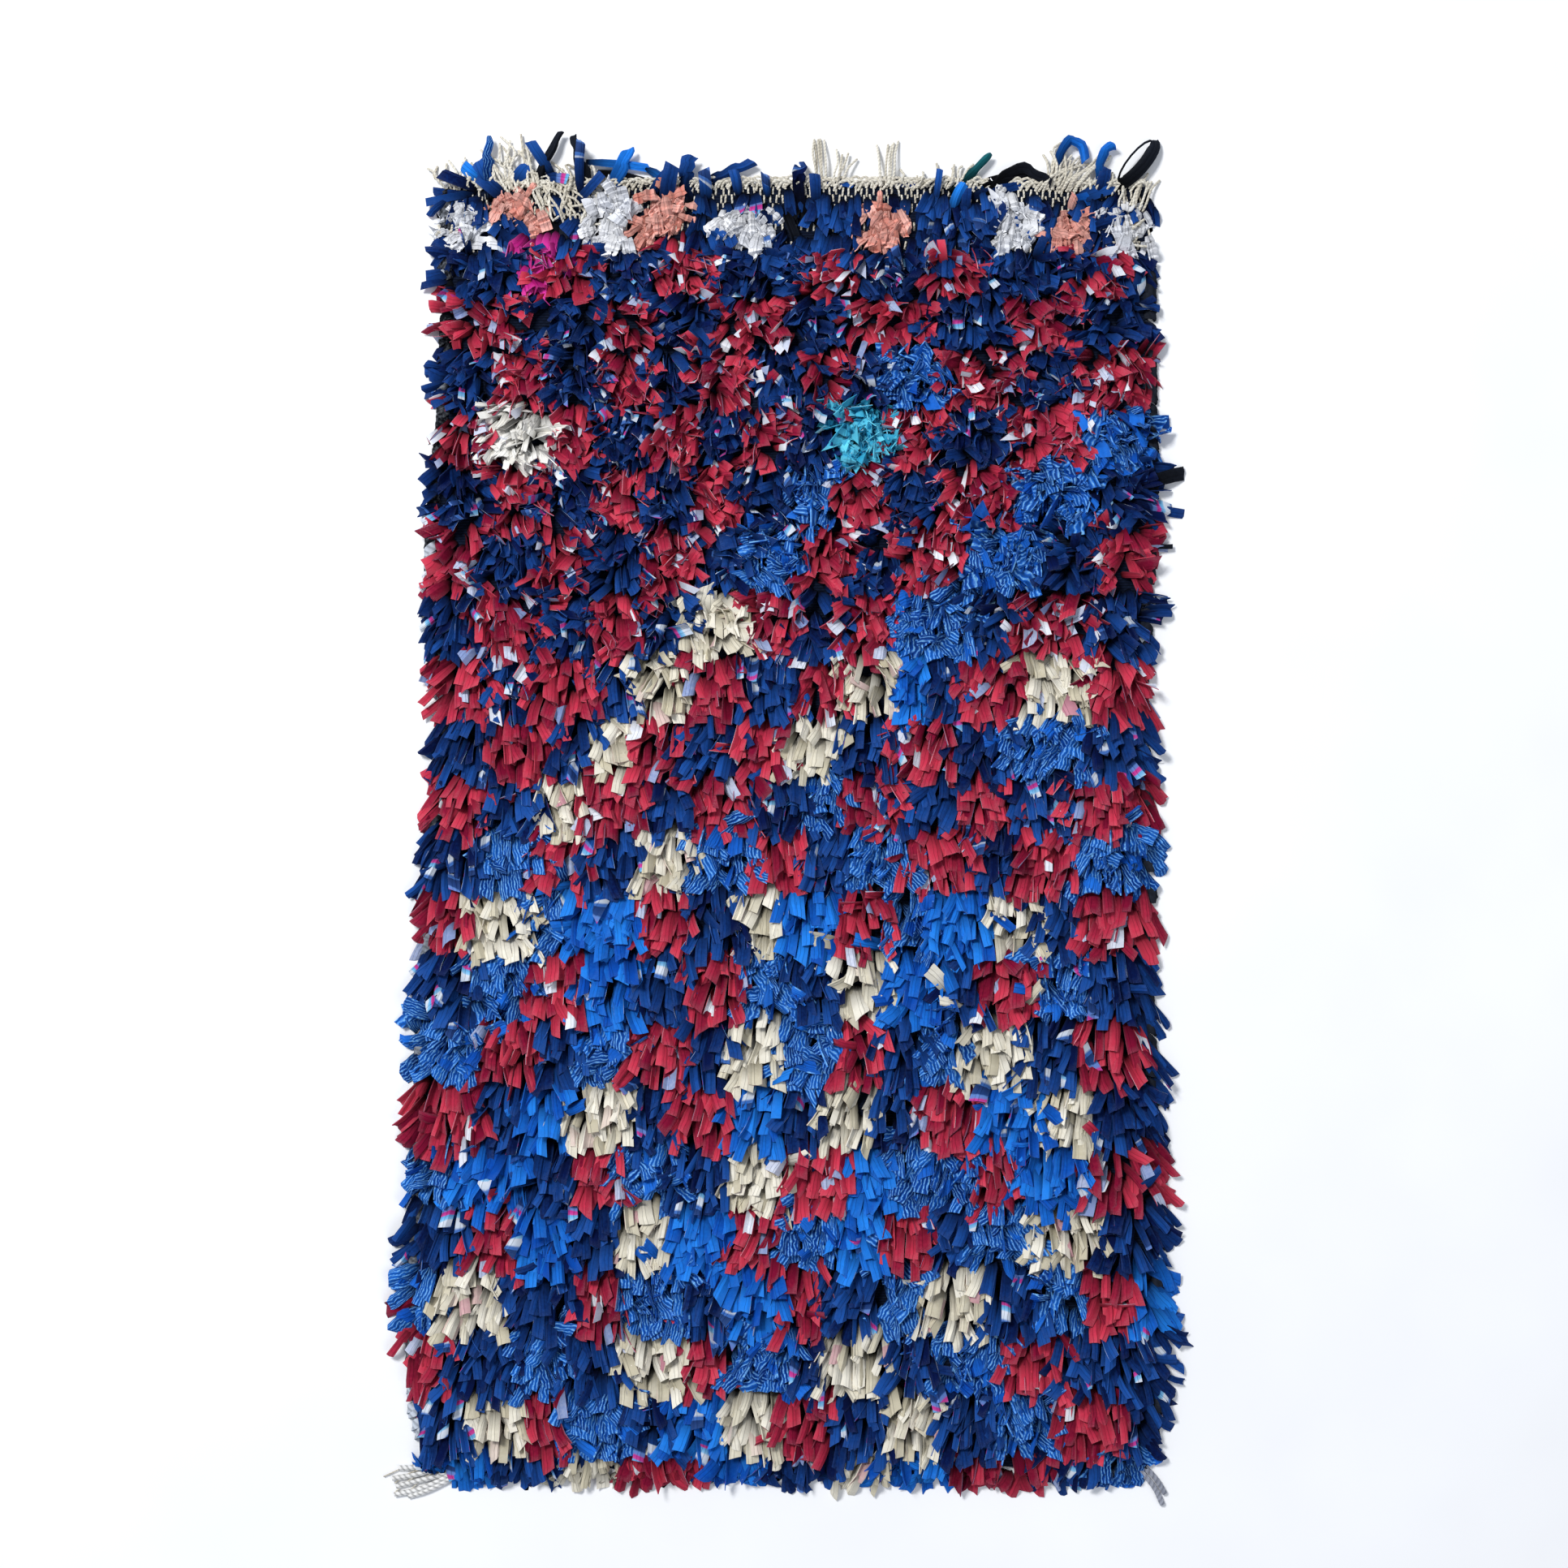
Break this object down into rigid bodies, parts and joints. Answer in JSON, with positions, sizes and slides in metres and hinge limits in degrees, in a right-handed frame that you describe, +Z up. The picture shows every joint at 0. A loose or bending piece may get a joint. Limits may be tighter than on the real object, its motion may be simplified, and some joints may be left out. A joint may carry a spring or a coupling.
{
  "type": "boucherouite rug",
  "caption": "Shaggy rag rug lying flat: cut cloth strips knotted in blocks of colour on a woven ground, with warp ends loose at the heading and corners.",
  "frame": {"origin": "on the floor, at the middle of the rug's box", "axes": "+Y along the rug towards its fringed heading, +Z up out of the pile, +X to the right seen from above with the heading away"},
  "size_m": [0.986, 1.7154, 0.0393],
  "materials": {
    "ground_weave": "plain weave, dark wool weft over white cotton warp",
    "navy_jersey": "fine knit, printed on the back",
    "blue_jersey": "fine knit",
    "royal_rib": "ribbed knit",
    "red_jersey": "fine knit, pale on the back",
    "cream_jersey": "fine knit",
    "white_cotton": "torn cotton and twisted cotton yarn",
    "salmon_cotton": "torn cotton",
    "magenta_jersey": "fine knit",
    "turquoise_jersey": "fine knit",
    "teal_jersey": "fine knit",
    "black_rag": "rolled rag",
    "grey_yarn": "fuzzy twisted yarn"
  },
  "bodies": {
    "root": {"foundation": "ground_weave", "pile": "navy_jersey", "selvedge_left": "grey_yarn", "selvedge_right": "black_rag", "top_fringe": "white_cotton", "corner_warps": "white_cotton", "corner_tail": "grey_yarn", "rag_rib_upright": "royal_rib", "rag_black_left": "black_rag", "rag_black_right": "black_rag", "rag_royal": "royal_rib", "rag_navy_upright": "navy_jersey", "rag_navy_bit": "navy_jersey", "rag_printed_loop": "navy_jersey", "rag_teal": "teal_jersey", "rag_rope_arch": "black_rag", "rag_blue_loop": "blue_jersey", "rag_blue_curl": "blue_jersey", "rag_black_loop": "black_rag"}
  },
  "joints": []
}
